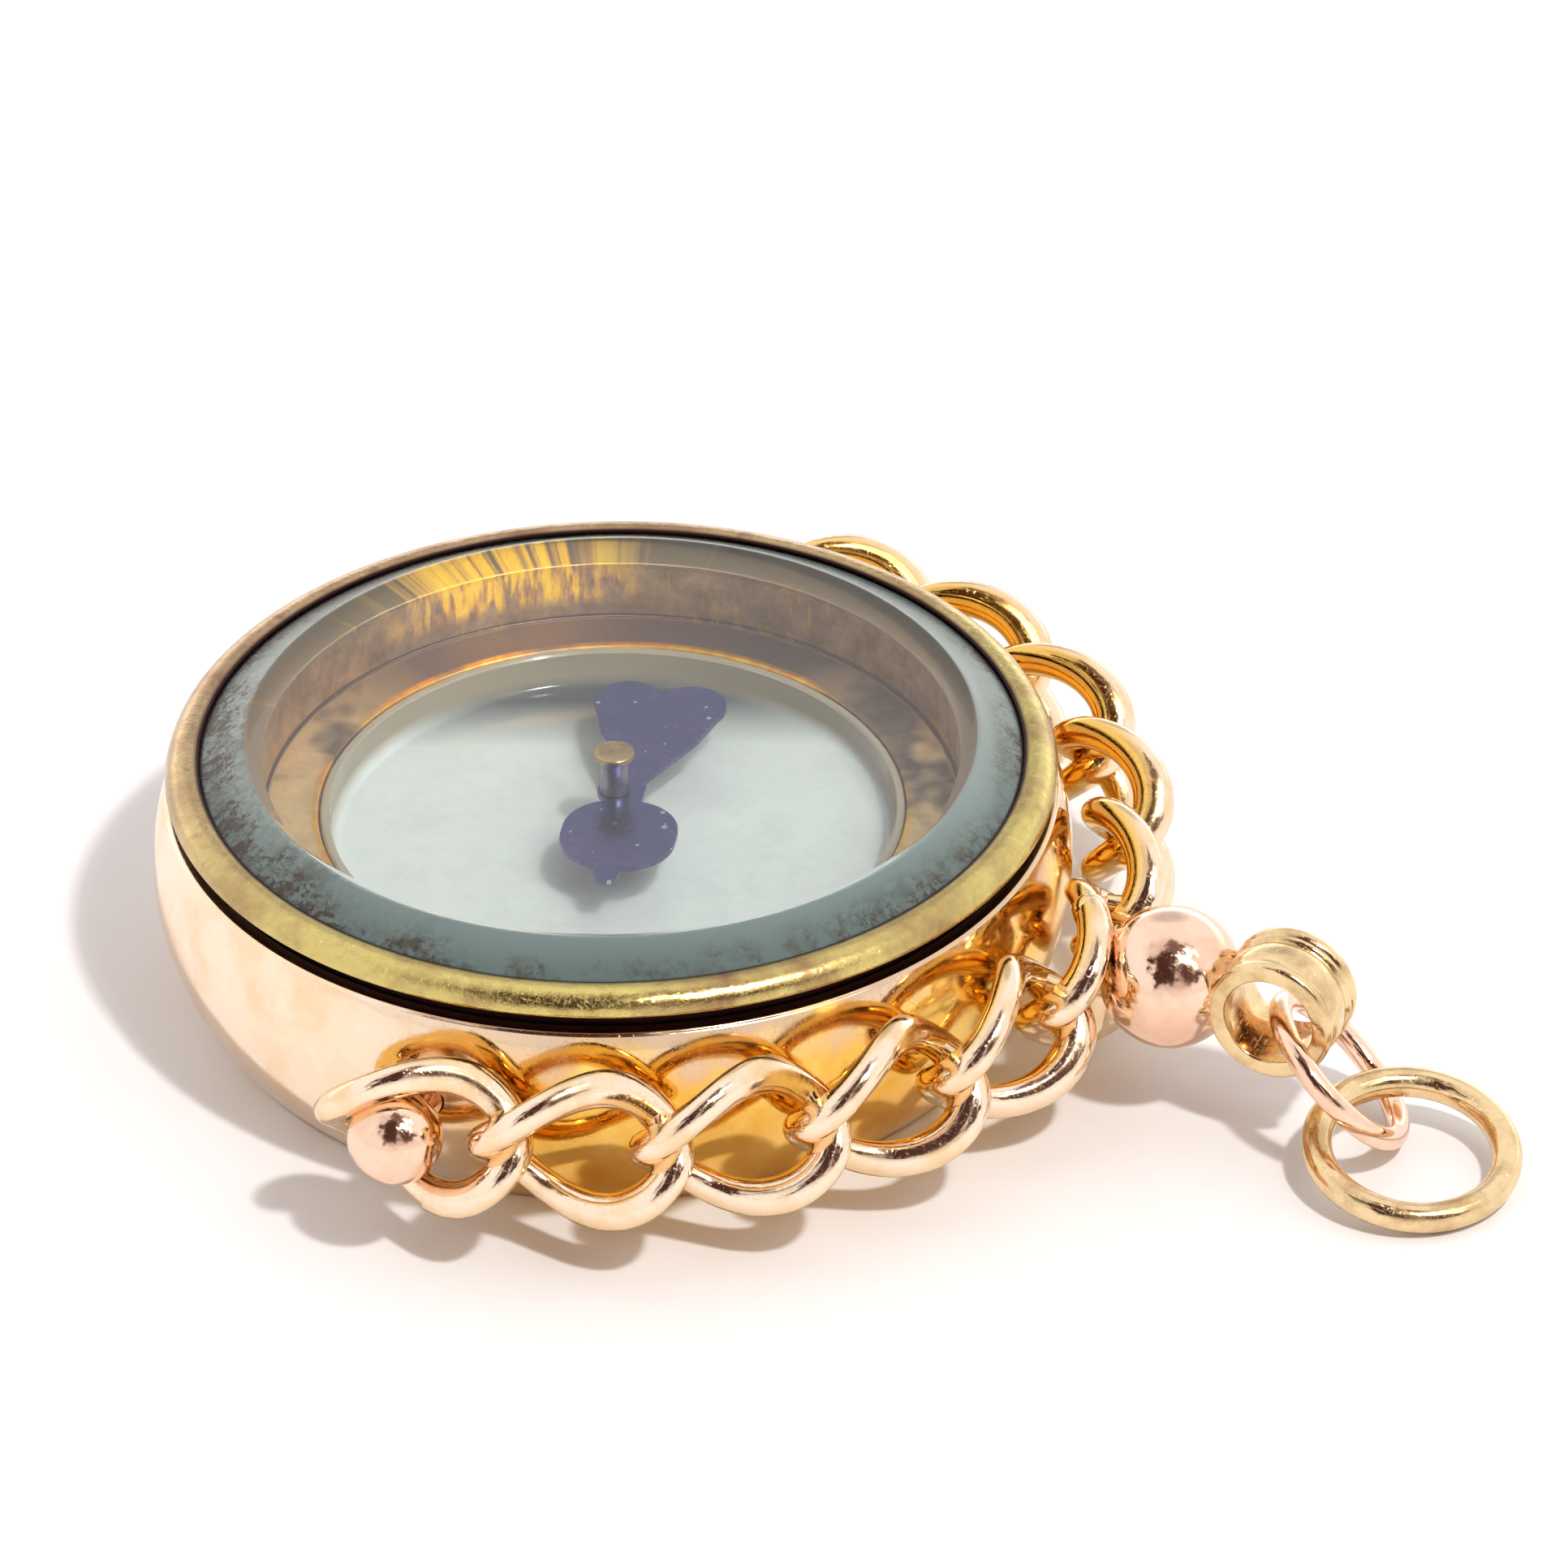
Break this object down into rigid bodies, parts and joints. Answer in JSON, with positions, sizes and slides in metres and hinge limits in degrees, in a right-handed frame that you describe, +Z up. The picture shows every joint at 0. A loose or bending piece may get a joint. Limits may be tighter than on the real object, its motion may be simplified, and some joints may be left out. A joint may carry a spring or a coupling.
{
  "type": "compass pendant",
  "caption": "Small round compass in a domed gold case with a bevelled glass, swinging on pins in a stiff half hoop of soldered curb links with a ball, a bail and two jump rings",
  "frame": {"origin": "middle of the flat back of the case, on the surface that the pendant lies on", "axes": "+Z up out of the glass, +X towards the ball and bail at the top of the bow, Y along the two swivel pins"},
  "size_m": [0.0389, 0.0312, 0.0078],
  "materials": {
    "rose_gold": "polished",
    "yellow_gold": "polished",
    "green_gold": "polished, tarnished in places",
    "tarnished_brass": "dull, tarnished",
    "cap_brass": "satin",
    "blued_steel": "blued, polished",
    "dial_white": "gloss",
    "glass": "clear, grimy at the edge"
  },
  "bodies": {
    "case": {"case_band": "rose_gold", "compass_cup": "tarnished_brass", "bezel": "green_gold", "crystal": "glass", "dial": "dial_white", "needle_post": "cap_brass"},
    "bow": {"curb_bow": "yellow_gold", "swivel_pin_front": "rose_gold", "swivel_pin_back": "rose_gold", "rose_jump_ring": "rose_gold", "gold_jump_ring": "yellow_gold"},
    "needle": {"needle": "blued_steel", "needle_cap": "cap_brass"}
  },
  "joints": [
    {"name": "case_swivel", "type": "hinge", "parent": "case", "child": "bow", "pos_m": [0, 0, 0.00375], "axis": [0, -1, 0], "continuous": true},
    {"name": "needle_spin", "type": "hinge", "parent": "case", "child": "needle", "pos_m": [0, 0.0002, 0.005], "axis": [0, 0, 1], "continuous": true}
  ]
}
